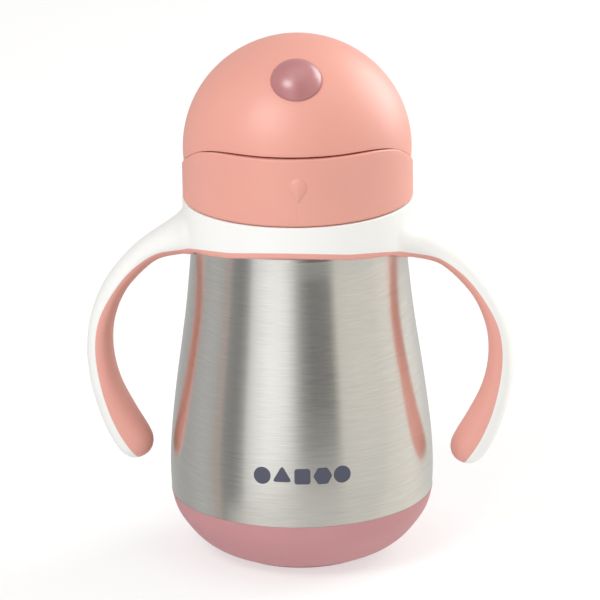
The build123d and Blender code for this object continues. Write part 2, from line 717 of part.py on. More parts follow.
with BuildPart() as straw_connector:
    with BuildSketch(Plane(STRAW_FOOT).offset(DECK[0])):
        Circle(CONNECTOR_FLANGE[0])
    extrude(amount=-CONNECTOR_FLANGE[1])
    with BuildSketch(Plane(STRAW_FOOT).offset(DECK[0])):
        Circle(STRAW_BORE - FIT)
    extrude(amount=CONNECTOR_NIPPLE)
    with BuildSketch(Plane(STRAW_FOOT).offset(DECK[0])):
        Circle(STEM_RADIUS)
    extrude(amount=SWING_Z + CONNECTOR_STUB - DECK[0])
    with BuildSketch(Plane(STRAW_FOOT).offset(DECK[0])):
        Circle(CONNECTOR_NECK)
    extrude(amount=SWING_Z - DECK[0])
    with Locations((0, STRAW_Y, SWING_Z)):
        Sphere(CONNECTOR_BALL)
    with BuildSketch(Plane(STRAW_FOOT).offset(SWING_Z - CONNECTOR_BALL)):
        Circle(CONNECTOR_BORE)
    extrude(amount=OUTSIDE, mode=Mode.SUBTRACT)
save(straw_connector.part, "straw_connector")

with BuildPart() as straw_tube:
    with BuildSketch(Plane(STRAW_FOOT).offset(TUBE_BOTTOM)):
        Circle(TUBE_RADIUS)
        Circle(TUBE_BORE, mode=Mode.SUBTRACT)
    extrude(amount=SWING_Z + TUBE_OVER - TUBE_BOTTOM)
save(straw_tube.part, "straw_tube")

WEIGHT_BOTTOM, WEIGHT_JOINT, WEIGHT_TOP = WEIGHT
with BuildPart() as weight_shell_upper:
    with BuildSketch(Plane(STRAW_FOOT).offset(WEIGHT_JOINT)):
        Circle(WEIGHT_RADIUS)
    extrude(amount=WEIGHT_TOP - WEIGHT_JOINT)
    fillet(weight_shell_upper.faces().sort_by(Axis.Z)[-1].edges(), WEIGHT_ROUND)
    with BuildSketch(Plane(STRAW_FOOT).offset(WEIGHT_TOP)):
        Circle(TUBE_RADIUS + WEIGHT_WALL)
    extrude(amount=WEIGHT_NECK)
    with BuildSketch(Plane(STRAW_FOOT).offset(WEIGHT_JOINT)):
        Circle(WEIGHT_RADIUS - WEIGHT_WALL)
    extrude(amount=WEIGHT_TOP - WEIGHT_JOINT - WEIGHT_WALL, mode=Mode.SUBTRACT)
    with BuildSketch(Plane(STRAW_FOOT).offset(WEIGHT_JOINT)):
        Circle(TUBE_RADIUS)
    extrude(amount=OUTSIDE, mode=Mode.SUBTRACT)
save(weight_shell_upper.part, "weight_shell_upper")

with BuildPart() as weight_shell_lower:
    with BuildSketch(Plane(STRAW_FOOT).offset(WEIGHT_BOTTOM)):
        Circle(WEIGHT_RADIUS)
    extrude(amount=WEIGHT_JOINT - WEIGHT_BOTTOM)
    fillet(weight_shell_lower.faces().sort_by(Axis.Z)[0].edges(), WEIGHT_ROUND)
    with BuildSketch(Plane(STRAW_FOOT).offset(WEIGHT_BOTTOM + 2 * WEIGHT_WALL)):
        Circle(WEIGHT_RADIUS - WEIGHT_WALL)
    extrude(amount=WEIGHT_JOINT, mode=Mode.SUBTRACT)
    with BuildSketch(Plane(STRAW_FOOT).offset(WEIGHT_BOTTOM)):
        Circle(TUBE_BORE)
        with PolarLocations(INLET_CIRCLE, INLET_COUNT):
            Circle(INLET_RADIUS)
    extrude(amount=WEIGHT_JOINT, mode=Mode.SUBTRACT)
save(weight_shell_lower.part, "weight_shell_lower")

with BuildPart() as weight_ring:
    with BuildSketch(Plane(STRAW_FOOT).offset(WEIGHT_RING[0])):
        Circle(WEIGHT_RADIUS - WEIGHT_WALL - FIT)
        Circle(TUBE_RADIUS + FIT, mode=Mode.SUBTRACT)
    extrude(amount=WEIGHT_RING[1] - WEIGHT_RING[0])
    chamfer(weight_ring.edges(), WEIGHT_CHAMFER)
save(weight_ring.part, "weight_ring")
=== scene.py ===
import json
import math

import bmesh
import bpy
import numpy as np
from mathutils import Matrix, Vector
from mathutils.bvhtree import BVHTree


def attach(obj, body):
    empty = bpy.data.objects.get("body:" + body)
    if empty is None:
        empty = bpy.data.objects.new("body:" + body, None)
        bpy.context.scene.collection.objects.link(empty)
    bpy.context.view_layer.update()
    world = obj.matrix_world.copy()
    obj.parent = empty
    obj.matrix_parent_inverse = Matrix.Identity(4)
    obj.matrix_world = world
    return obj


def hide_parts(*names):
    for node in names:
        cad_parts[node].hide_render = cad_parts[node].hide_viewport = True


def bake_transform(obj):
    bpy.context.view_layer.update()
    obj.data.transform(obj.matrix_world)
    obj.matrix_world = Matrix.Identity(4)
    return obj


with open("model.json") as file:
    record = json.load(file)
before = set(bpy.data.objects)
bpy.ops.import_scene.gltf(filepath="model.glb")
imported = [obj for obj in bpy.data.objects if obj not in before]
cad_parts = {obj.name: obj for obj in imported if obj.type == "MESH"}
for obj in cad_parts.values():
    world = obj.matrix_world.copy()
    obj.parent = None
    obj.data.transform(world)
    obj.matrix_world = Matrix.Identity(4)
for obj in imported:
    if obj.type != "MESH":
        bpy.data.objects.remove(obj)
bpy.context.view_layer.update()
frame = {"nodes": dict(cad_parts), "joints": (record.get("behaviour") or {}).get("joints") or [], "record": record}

MM = 0.001
NODES = frame["nodes"]
JOINTS = {joint["name"]: joint for joint in frame["joints"]}
HANDLE_YAW = math.radians(-5.5)          # how far round the handle ring stands at rest
DOME_CENTRE = Vector(JOINTS["cover_pivot"]["pos_m"])
FOLD_POINT = Vector(JOINTS["straw_flip"]["pos_m"])
FULL_TURN = 2 * math.pi
MERGE = 0.002 * MM                       # points closer than this are one point


# ---- mesh helpers ---------------------------------------------------------------
def link(name, mesh):
    """A new object in the scene for a mesh."""
    piece = bpy.data.objects.new(name, mesh)
    bpy.context.scene.collection.objects.link(piece)
    return piece


def grid_mesh(name, points, wrap_rows=False, wrap_columns=False):
    """A quad mesh over an array of points [row, column, 3], closed round in either direction."""
    points = np.asarray(points, float)
    rows, columns = points.shape[:2]
    index = np.arange(rows * columns).reshape(rows, columns)
    if wrap_rows:
        index = np.vstack([index, index[:1]])
    if wrap_columns:
        index = np.hstack([index, index[:, :1]])
    quads = np.stack([index[:-1, :-1], index[1:, :-1], index[1:, 1:], index[:-1, 1:]], -1)
    mesh = bpy.data.meshes.new(name)
    mesh.from_pydata(points.reshape(-1, 3).tolist(), [], quads.reshape(-1, 4).tolist())
    mesh.update()
    return mesh


def cap_rings(mesh, *rings):
    """Closes open ends: each ring is a list of vertex numbers in order."""
    work = bmesh.new()
    work.from_mesh(mesh)
    work.verts.ensure_lookup_table()
    for ring in rings:
        work.faces.new([work.verts[number] for number in ring])
    bmesh.ops.recalc_face_normals(work, faces=work.faces)
    work.to_mesh(mesh)
    work.free()


def clean(mesh):
    """Merges points that fall together, drops the empty faces and turns the rest outwards."""
    work = bmesh.new()
    work.from_mesh(mesh)
    bmesh.ops.remove_doubles(work, verts=work.verts, dist=MERGE)
    bmesh.ops.dissolve_degenerate(work, dist=MERGE, edges=work.edges)
    bmesh.ops.recalc_face_normals(work, faces=work.faces)
    work.to_mesh(mesh)
    work.free()


def shade(piece, angle=35):
    """Smooth shading with sharp edges above an angle."""
    for face in piece.data.polygons:
        face.use_smooth = True
    piece.data.set_sharp_from_angle(angle=math.radians(angle))


def apply_modifier(piece, kind, **settings):
    """Adds a modifier and applies it to the mesh."""
    modifier = piece.modifiers.new(kind.lower(), kind)
    for key, value in settings.items():
        setattr(modifier, key, value)
    graph = bpy.context.evaluated_depsgraph_get()
    made = bpy.data.meshes.new_from_object(piece.evaluated_get(graph))
    piece.modifiers.clear()
    piece.data = made


# ---- material helpers --------------------------------------------------------------
def linear(red, green, blue):
    """Scene-linear colour of an 8-bit display colour."""
    made = []
    for value in (red, green, blue):
        share = value / 255
        made.append(share / 12.92 if share <= 0.04045 else ((share + 0.055) / 1.055) ** 2.4)
    return (*made, 1.0)


class Nodes:
    """Short hand for building a material's node tree."""

    def __init__(self, name):
        self.material = bpy.data.materials.new(name)
        self.material.use_nodes = True
        self.tree = self.material.node_tree
        self.shader = self.tree.nodes["Principled BSDF"]

    def add(self, kind, **settings):
        node = self.tree.nodes.new(kind)
        for key, value in settings.items():
            setattr(node, key, value)
        return node

    def join(self, source, target):
        self.tree.links.new(source, target)

    def math(self, operation, first, second):
        node = self.add("ShaderNodeMath", operation=operation)
        for socket, value in zip(node.inputs, (first, second)):
            if isinstance(value, (int, float)):
                socket.default_value = value
            else:
                self.join(value, socket)
        return node.outputs[0]

    def noise(self, vector, scale, detail=3.0, roughness=0.5):
        node = self.add("ShaderNodeTexNoise")
        node.inputs["Scale"].default_value = scale
        node.inputs["Detail"].default_value = detail
        node.inputs["Roughness"].default_value = roughness
        self.join(vector, node.inputs["Vector"])
        return node.outputs["Fac"]

    def span(self, value, low, high):
        """value from 0..1 to low..high"""
        node = self.add("ShaderNodeMapRange")
        node.inputs["To Min"].default_value = low
        node.inputs["To Max"].default_value = high
        self.join(value, node.inputs["Value"])
        return node.outputs["Result"]

    def blend(self, factor, first, second):
        node = self.add("ShaderNodeMix", data_type="RGBA")
        self.join(factor, node.inputs["Factor"])
        node.inputs["A"].default_value = first
        node.inputs["B"].default_value = second
        return node.outputs["Result"]

    def place(self):
        return self.add("ShaderNodeTexCoord").outputs["Object"]

    def bump(self, height, strength, distance):
        node = self.add("ShaderNodeBump")
        node.inputs["Strength"].default_value = strength
        node.inputs["Distance"].default_value = distance
        self.join(height, node.inputs["Height"])
        self.join(node.outputs["Normal"], self.shader.inputs["Normal"])


def moulded(name, light, dark, roughness, grain=0.12, specular=0.5, subsurface=0.0):
    """Moulded plastic or rubber: fine eroded-tool grain, faint mottling and handling smears.

    light and dark are the 8-bit display colours that the mottling runs between.
    """
    made = Nodes(name)
    inputs = made.shader.inputs
    place = made.place()
    mottling = made.noise(place, 55.0, 4.0)
    grain_noise = made.noise(place, 5200.0, 2.0)
    smears = made.noise(place, 210.0, 5.0, 0.65)
    made.join(made.blend(mottling, linear(*light), linear(*dark)), inputs["Base Color"])
    made.join(made.span(smears, roughness - 0.05, roughness + 0.06), inputs["Roughness"])
    inputs["Specular IOR Level"].default_value = specular
    if subsurface:
        inputs["Subsurface Weight"].default_value = subsurface
        inputs["Subsurface Radius"].default_value = (1.0, 0.45, 0.3)
        inputs["Subsurface Scale"].default_value = 1.2 * MM
    made.bump(grain_noise, grain, 0.04 * MM)
    return made.material


def brushed(name):
    """Stainless steel brushed round Z: long fine scratches, with rows that differ in gloss."""
    stretch = 0.0011                     # metres of noise per radian, so that scratches run long
    waver = 0.0006
    made = Nodes(name)
    inputs = made.shader.inputs
    place = made.place()
    parts = made.add("ShaderNodeSeparateXYZ")
    made.join(place, parts.inputs[0])
    angle = made.math("ARCTAN2", parts.outputs["Y"], parts.outputs["X"])
    along = made.add("ShaderNodeCombineXYZ")
    made.join(made.math("MULTIPLY", angle, stretch), along.inputs["X"])
    made.join(parts.outputs["Z"], along.inputs["Z"])
    made.join(made.math("MULTIPLY", made.noise(place, 9.0, 1.0), waver), along.inputs["Y"])
    fine = made.noise(along.outputs[0], 4600.0, 4.0, 0.6)
    broad = made.noise(along.outputs[0], 420.0, 3.0, 0.6)
    scratches = made.math(
        "ADD",
        made.math("MULTIPLY", fine, 0.88),
        made.math("MULTIPLY", broad, 0.12),
    )
    tone = made.blend(scratches, (0.62, 0.61, 0.575, 1), (0.90, 0.885, 0.84, 1))
    made.join(tone, inputs["Base Color"])
    inputs["Metallic"].default_value = 1.0
    made.join(made.span(scratches, 0.16, 0.30), inputs["Roughness"])
    inputs["Anisotropic"].default_value = 0.85
    inputs["Anisotropic Rotation"].default_value = 0.25
    tangent = made.add("ShaderNodeTangent", direction_type="RADIAL", axis="Z")
    made.join(tangent.outputs[0], inputs["Tangent"])
    made.bump(scratches, 0.10, 0.015 * MM)
    return made.material


# ---- materials ------------------------------------------------------------------------
PRINT = moulded("print_ink", (80, 83, 100), (72, 75, 92), 0.45, grain=0.05)
FINISHES = {                             # material of each slot in the record
    "steel": brushed("brushed_steel"),
    "boot": moulded("soft_boot", (199, 141, 144), (195, 137, 140), 0.5, grain=0.2),
    "white_plastic": moulded(
        "white_plastic", (244, 244, 241), (240, 240, 237), 0.38, subsurface=0.1
    ),
    "grip": moulded("soft_lining", (232, 166, 153), (228, 161, 149), 0.55, grain=0.2),
    "lid_plastic": moulded(
        "salmon_plastic", (232, 163, 147), (228, 158, 143), 0.46, specular=0.8, subsurface=0.08
    ),
    "button_plastic": moulded(
        "button_plastic", (184, 120, 122), (180, 116, 118), 0.33, grain=0.05, specular=1.0
    ),
    "inner_plastic": moulded("inner_plastic", (240, 176, 160), (236, 170, 155), 0.35),
    "silicone": moulded(
        "clear_silicone", (236, 233, 228), (230, 227, 222), 0.3, subsurface=0.5
    ),
    "getter_metal": moulded("getter_metal", (120, 120, 122), (105, 105, 108), 0.5),
    "seal_glass": moulded("seal_glass", (110, 125, 118), (95, 108, 102), 0.2),
}


def paint(piece, material):
    piece.data.materials.clear()
    piece.data.materials.append(material)


for row in frame["record"]["subparts"]:
    paint(NODES[row["node"]], FINISHES[row["material_slot"]])


def finish(piece, body, slot, *replaced):
    """Gives a new piece its material, body and the CAD nodes that it stands for."""
    paint(piece, FINISHES[slot])
    if body:
        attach(piece, body)
    if replaced:
        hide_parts(*replaced)


# ---- handle: a ring with two arms, hard spine above and soft lining below ---------------
RING_RADIUS = 34.5
RING_ABOVE = 112.0                       # the blank runs on above the ring's top
ARCH_FRONT, ARCH_DROP = 100.8, 0.0051    # ring's lower edge: front height, fall per x squared
STRIP = 1.9                              # height of the lining under the ring
RING_BORES = [                           # (radius, height) of the hollow that the neck stands in
    (0, 60),
    (32.7, 60),
    (32.7, 101.95),
    (27, 101.95),
    (27, 103.4),
    (31, 103.4),
    (31, 110.0),
    (31.3, 110.3),
    (34.2, 110.35),
    (34.42, 110.26),
    (34.55, 110.05),
    (40, 110.05),
    (40, 125),
    (0, 125),
]
# Arm sections from the ring to the tip: outer point, inner point (x, z), half width across.
ARM = [
    ((30.0, 109.2), (30.0, 93.6), 16.2),
    ((33.0, 107.7), (33.0, 92.9), 13.4),
    ((36.2, 103.9), (35.4, 92.2), 10.4),
    ((40.9, 100.5), (38.5, 91.5), 8.2),
    ((47.1, 96.15), (42.6, 90.0), 7.0),
    ((53.6, 89.9), (48.3, 85.0), 6.75),
    ((59.5, 81.5), (52.9, 78.9), 6.75),
    ((63.3, 71.5), (56.1, 70.2), 6.75),
    ((64.5, 60.6), (56.6, 60.8), 6.75),
    ((63.4, 50.1), (54.6, 51.7), 6.75),
    ((60.5, 39.7), (50.2, 42.7), 6.75),
    ((57.8, 33.5), (46.7, 36.8), 6.6),
    ((56.0, 30.4), (45.2, 33.6), 6.15),
    ((54.3, 28.4), (45.1, 31.1), 5.2),
    ((52.3, 27.1), (46.2, 28.9), 3.5),
    ((50.2, 26.8), (48.2, 27.4), 1.2),
]
# Line where spine and lining meet, from the ring to beyond the tip (x, z).
SPLIT = [
    (31.3, 97.6),
    (34.3, 95.95),
    (37.0, 95.0),
    (42.6, 93.2),
    (49.6, 88.2),
    (55.1, 81.5),
    (60.0, 72.0),
    (61.3, 61.9),
    (59.0, 47.4),
    (55.0, 36.8),
    (49.4, 27.6),
    (46.0, 22.0),
]


def ease(share):
    """0 to 1 with level ends."""
    share = np.clip(share, 0, 1)
    return share * share * (3 - 2 * share)


def smooth_path(points, per_span):
    """Smooth curve through points [n, k], with per_span steps from each point to the next."""
    points = np.asarray(points, float)
    lengths = np.linalg.norm(np.diff(points, axis=0), axis=1)
    places = np.concatenate([[0], np.cumsum(np.sqrt(lengths))])
    slopes = np.gradient(points, places, axis=0)
    made = []
    for index in range(len(points) - 1):
        step = places[index + 1] - places[index]
        t = np.linspace(0, 1, per_span, endpoint=False)[:, None]
        made.append(
            points[index] * (2 * t**3 - 3 * t**2 + 1)
            + slopes[index] * step * (t**3 - 2 * t**2 + t)
            + points[index + 1] * (3 * t**2 - 2 * t**3)
            + slopes[index + 1] * step * (t**3 - t**2)
        )
    return np.vstack(made + [points[-1:]])


def arm_mesh(side):
    """One arm as a closed tube, drawn square to the axes; side is 1 or -1."""
    rows = smooth_path([[*outer, *inner, half] for outer, inner, half in ARM], 9)
    turn = np.linspace(0, FULL_TURN, 64, endpoint=False)
    fullness = 2 / 2.2                   # below 1, a section is fuller than an ellipse
    along = np.sign(np.cos(turn)) * np.abs(np.cos(turn)) ** fullness
    across = np.sign(np.sin(turn)) * np.abs(np.sin(turn)) ** fullness
    outer, inner, half = rows[:, None, 0:2], rows[:, None, 2:4], rows[:, None, 4]
    middle, reach = (outer + inner) / 2, (outer - inner) / 2
    plane = middle + reach * along[None, :, None]
    grid = np.stack([side * plane[..., 0], side * half * across[None, :], plane[..., 1]], -1) * MM
    mesh = grid_mesh("arm", grid, wrap_columns=True)
    count = len(turn)
    cap_rings(mesh, range(count), range(len(rows) * count - count, len(rows) * count))
    return link("arm", mesh)


def ring_blank():
    """The ring as a solid plug with its arched lower edge, before its hollow is cut."""
    angles = np.linspace(0, FULL_TURN, 256, endpoint=False)
    across = np.abs(RING_RADIUS * np.cos(angles))
    low = ARCH_FRONT - ARCH_DROP * across**2
    # The edge lifts a little before each arm's root, and then drops into it.
    low += 0.5 * ease((across - 17) / 8) - 2.0 * ease((across - 29.8) / 4.4)
    rows = [(0.5, low + 3), (31.0, low + 3), (32.6, low + 0.1), (33.2, low), (33.9, low)]
    rows += [(34.3, low + 0.2), (RING_RADIUS, low + 0.6)]
    rows += [
        (RING_RADIUS, low + (RING_ABOVE - low) * share) for share in np.linspace(0.1, 1, 24)
    ]
    rows += [(0.5, np.full_like(low, RING_ABOVE))]
    grid = [
        np.stack([radius * np.cos(angles), radius * np.sin(angles), heights], -1)
        for radius, heights in rows
    ]
    mesh = grid_mesh("ring", np.array(grid) * MM, wrap_columns=True)
    count = len(angles)
    cap_rings(mesh, range(count), range((len(rows) - 1) * count, len(rows) * count))
    return link("ring", mesh)


def lathe_solid(name, profile, segments=192):
    """A closed solid of revolution from (radius, height) points that start and end on the axis."""
    angles = np.linspace(0, FULL_TURN, segments, endpoint=False)
    rows = np.array(profile[1:-1], float)
    grid = np.stack(
        [
            rows[:, None, 0] * np.cos(angles),
            rows[:, None, 0] * np.sin(angles),
            np.repeat(rows[:, None, 1], segments, 1),
        ],
        -1,
    )
    mesh = grid_mesh(name, grid * MM, wrap_columns=True)
    cap_rings(mesh, range(segments), range((len(rows) - 1) * segments, len(rows) * segments))
    return link(name, mesh)


def lining_zone():
    """A prism that holds everything below the line between spine and lining."""
    crown = [
        (x, ARCH_FRONT + STRIP - ARCH_DROP * x * x + 0.45 * ease((x - 17) / 8))
        for x in np.linspace(0, 27, 7)
    ]
    right = smooth_path(crown + SPLIT, 10)
    outline = np.vstack([(right * (-1, 1))[:0:-1], right])
    grid = [[(x, y, z) for x, z in outline] for y in (-60, 60)]
    mesh = grid_mesh("zone", np.array(grid) * MM, wrap_columns=True)
    count = len(outline)
    cap_rings(mesh, range(count), range(count, 2 * count))
    return link("zone", mesh)


def cut(piece, tool, operation):
    """A boolean on closed meshes."""
    apply_modifier(piece, "BOOLEAN", operation=operation, object=tool, solver="MANIFOLD")


def copy_of(piece, name):
    """A second object with its own copy of the mesh."""
    made = link(name, piece.data.copy())
    made.matrix_world = piece.matrix_world
    return made


def remove(*pieces):
    """Takes working objects out of the scene."""
    for piece in pieces:
        bpy.data.objects.remove(piece)


def normals_from(piece, blank):
    """Gives a cut mesh the smooth normals of the uncut one, except on the cut faces."""
    limit = 0.82                         # cosine beyond which a face belongs to a cut
    near = 0.15 * MM                     # reach within which a point lies on the uncut mesh
    source = blank.data
    tree = BVHTree.FromPolygons(
        [vertex.co for vertex in source.vertices],
        [face.vertices for face in source.polygons],
    )
    mesh = piece.data
    smooth = []
    for vertex in mesh.vertices:
        spot, _, number, distance = tree.find_nearest(vertex.co)
        face = source.polygons[number]
        total = Vector((0, 0, 0))
        for index in face.vertices:
            corner = source.vertices[index]
            total += corner.normal / ((corner.co - spot).length + 0.02 * MM)
        smooth.append(total.normalized() if distance < near else None)
    normals = []
    for face in mesh.polygons:
        for index in face.vertices:
            wanted = smooth[index]
            normals.append(wanted if wanted and wanted.dot(face.normal) > limit else face.normal)
    mesh.normals_split_custom_set(normals)


def root_weight(spot):
    """How strongly a point of the handle is smoothed: 1 at the arms' roots, 0 elsewhere."""
    x, y, z = spot / MM
    if abs(x) < 24:
        return 0.0
    beyond_ring = (math.hypot(x, y) - 31.5) / 2.5
    before_arm = (50 - abs(x)) / 10
    beside = (24 - abs(y)) / 6
    below_top = (110.0 - z) / 2.0
    return max(0.0, min(1.0, beyond_ring, before_arm, beside, below_top))


def build_handle():
    """Ring and arms joined into one smooth blank, then cut into spine and lining."""
    blank = ring_blank()
    for side in (1, -1):
        arm = arm_mesh(side)
        cut(blank, arm, "UNION")
        remove(arm)
    apply_modifier(blank, "REMESH", mode="VOXEL", voxel_size=0.42 * MM)
    # The root of each arm flows into the ring: smooth it there and nowhere else.
    group = blank.vertex_groups.new(name="root")
    for vertex in blank.data.vertices:
        weight = root_weight(vertex.co)
        if weight:
            group.add([vertex.index], weight, "REPLACE")
    apply_modifier(blank, "SMOOTH", factor=0.5, iterations=75, vertex_group="root")
    apply_modifier(blank, "SMOOTH", factor=0.5, iterations=4)
    hollow = lathe_solid("hollow", RING_BORES)
    cut(blank, hollow, "DIFFERENCE")
    zone = lining_zone()
    for name, operation, slot, node in (
        ("handle_spine", "DIFFERENCE", "white_plastic", "handle_frame"),
        ("handle_lining", "INTERSECT", "grip", "handle_grip"),
    ):
        piece = copy_of(blank, name)
        cut(piece, zone, operation)
        shade(piece, 50)
        normals_from(piece, blank)
        piece.data.transform(Matrix.Rotation(HANDLE_YAW, 4, "Z"))
        finish(piece, "handle", slot, node)
    remove(blank, hollow, zone)


# ---- lid collar, with its drop-shaped mark ------------------------------------------------
DOME_Z = 125.5                           # height of the dome's centre
COLLAR_RADIUS = 34.36
COLLAR_BORE = 32.6                       # radius of the collar's inside, below the deck
COLLAR_FOOT = 111.25                     # height at which the collar's wall starts
DECK_TOP = 114.62
DROP_RADIUS, DROP_CENTRE, DROP_POINT = 2.65, 122.6, 117.7    # round end, its height, point
DROP_RISE = 0.85


def seam_height(y):
    """Height of the collar's upper edge at a place between front (-y) and rear.

    It is level at the front, bends down into a slope, and runs round the pivot's lobe.
    """
    lobe, bend, top = 4.4, 29.7, 5.45    # two radii, and the front's height above the pivot
    slope, rear = math.radians(25.5), math.radians(191)
    low_y, low_z = -lobe * math.sin(slope), -lobe * math.cos(slope)
    bend_z = top - bend * (1 - math.cos(slope))
    bend_y = low_y - (bend_z - low_z) / math.tan(slope)
    flat_y = bend_y - bend * math.sin(slope)
    end_y, end_z = lobe * math.sin(rear), lobe * math.cos(rear)
    if y < flat_y:
        height = top
    elif y < bend_y:
        height = top - bend + math.sqrt(bend**2 - (y - flat_y) ** 2)
    elif y < low_y:
        height = low_z + (low_y - y) * math.tan(slope)
    elif y < end_y:
        height = -math.sqrt(lobe**2 - y**2)
    else:
        height = end_z + (y - end_y) * math.tan(math.radians(180) - rear)
    return DOME_Z + height


def drop_relief(x, z):
    """How far the collar's face stands out at a place on its front."""
    half = math.asin(DROP_RADIUS / (DROP_CENTRE - DROP_POINT))
    x, below = abs(x), DROP_CENTRE - z
    if below * math.cos(half) > x * math.sin(half):
        inside = DROP_RADIUS - (x * math.cos(half) + below * math.sin(half))
    else:
        inside = DROP_RADIUS - math.hypot(x, below)
    rise = 0.0
    if inside > 0:
        rise = DROP_RISE * (1 - (1 - min(1, inside / DROP_RADIUS)) ** 2) ** 0.7
    if z < DROP_POINT:                   # a fine groove runs on below the point
        rise -= 0.07 * math.exp(-((x / 0.16) ** 2))
    return rise


def collar_section(angle):
    """Closed section (radius, height) of the collar at an angle about Z."""
    front = math.sin(angle)
    across = COLLAR_RADIUS * math.cos(angle)
    by_drop = front < 0 and abs(across) < 3.2
    top = seam_height(COLLAR_RADIUS * front)
    soft = 0.45                          # rounding of the upper edge
    straight_top = top - soft
    shares = np.concatenate(
        [np.linspace(0, 0.27, 6)[:-1], np.linspace(0.27, 0.76, 44), [0.84, 0.92, 1]]
    )
    section = [(32.9, 110.5), (33.5, 110.42), (33.62, 110.75), (34.08, 110.8), (34.28, 110.95)]
    for share in shares:
        height = COLLAR_FOOT + share * (straight_top - COLLAR_FOOT)
        bump = drop_relief(across, height) if by_drop else 0
        section.append((COLLAR_RADIUS + bump, height))
    for degrees in (25, 50, 72, 90):
        turn = math.radians(degrees)
        radius = COLLAR_RADIUS - soft + soft * math.cos(turn)
        section.append((radius, straight_top + soft * math.sin(turn)))

    def bore(height):
        """Radius of the inside: a sphere round the inner dome, and a cylinder below the deck."""
        if height > DECK_TOP:
            return math.sqrt(31.7**2 - (height - DOME_Z) ** 2)
        return COLLAR_BORE

    inner_top = seam_height(32.0 * front)
    inner = bore(inner_top)
    section += [(inner + 0.45, inner_top), (inner + 0.12, inner_top - 0.1)]
    start = inner_top - 0.35
    for share in np.linspace(0, 1, 8):
        height = start - share * max(0.0, start - (DECK_TOP + 0.01))
        section.append((bore(height), height))
    ledge = min(DECK_TOP, inner_top - 0.4)
    section += [(COLLAR_BORE, ledge), (COLLAR_BORE, 112.0), (COLLAR_BORE, 111.1)]
    return section


def build_collar():
    """The collar, in sections round Z that stand close together at the drop."""
    near = np.concatenate([np.arange(0, 1.0, 0.125), np.arange(1.0, 5.75, 0.25)])
    far = np.linspace(5.75, 180, 118)
    offsets = np.concatenate([-far[::-1][1:], -near[::-1], near[1:], far])
    angles = np.radians(-90 + offsets)
    columns = []
    for angle in angles:
        radius, height = np.array(collar_section(angle)).T
        columns.append(np.stack([radius * math.cos(angle), radius * math.sin(angle), height], -1))
    mesh = grid_mesh("collar", np.array(columns) * MM, wrap_rows=True, wrap_columns=True)
    clean(mesh)
    piece = link("collar", mesh)
    shade(piece, 40)
    finish(piece, "lid", "lid_plastic", "lid_collar")


# ---- dome cover ---------------------------------------------------------------------------
def build_cover():
    """The dome, a little wider than it is high, so that its sides run on into the collar's."""
    widening = 1.0105
    node = NODES["dome_cover"]
    mesh = node.data.copy()
    mesh.transform(Matrix.Diagonal((widening, 1, 1, 1)))
    piece = link("dome_shell", mesh)
    piece.matrix_world = node.matrix_world
    finish(piece, "cover", "lid_plastic", "dome_cover")


# ---- thumb button -------------------------------------------------------------------------
def build_button():
    """A low cap set in the dome, drawn on Z and then tilted to its place."""
    radius, seat, middle, rise = 7.65, 32.5, 32.25, 4.95    # heights from the dome's centre
    elevation = 51.5                     # of the button's axis, in degrees
    profile = [(0, seat), (7.2, seat), (7.3, seat + 0.1), (7.32, 32.86), (7.5, 32.92)]
    for share in np.linspace(0.1, 1, 26)[:-1]:
        turn = share * math.pi / 2
        profile.append((radius * math.cos(turn), middle + rise * math.sin(turn)))
    profile += [(0.02, middle + rise), (0, middle + rise)]
    piece = lathe_solid("thumb_button", profile, 128)
    tilt = Matrix.Rotation(math.radians(90 - elevation), 4, "X")
    piece.data.transform(Matrix.Translation(DOME_CENTRE) @ tilt)
    clean(piece.data)
    shade(piece, 40)
    finish(piece, "cover", "button_plastic", "dome_button")


# ---- mouthpiece: one silicone tube that folds under the dome -------------------------------
FOLD_ANGLE = math.radians(95.1)
OPEN_LEAN = math.radians(30)             # how far the open tube's tip leans forward
TUBE_BEND = 14.0                         # radius of the bend between foot and tip
TIP_LENGTH = 27.8
TUBE_BORE = 2.0
CREASE = np.array([0, -0.887, 0.462])    # direction in which the fold spreads
FOLD_REACH = 5.0                         # the fold spreads this far each way from its axis


def tube_path():
    """Middle line of the open tube: rows of y, z, lean."""
    foot, start_z = FOLD_POINT.y / MM, FOLD_POINT.z / MM - 3.7
    path = []
    for height in np.linspace(DECK_TOP - 0.12, start_z, 34, endpoint=False):
        path.append((foot, height, 0.0))
    for turn in np.linspace(0, OPEN_LEAN, 18, endpoint=False):
        y = foot - TUBE_BEND * (1 - math.cos(turn))
        path.append((y, start_z + TUBE_BEND * math.sin(turn), turn))
    y_end = foot - TUBE_BEND * (1 - math.cos(OPEN_LEAN))
    z_end = start_z + TUBE_BEND * math.sin(OPEN_LEAN)
    for step in np.linspace(0, TIP_LENGTH, 34):
        y = y_end - step * math.sin(OPEN_LEAN)
        path.append((y, z_end + step * math.cos(OPEN_LEAN), OPEN_LEAN))
    return np.array(path)


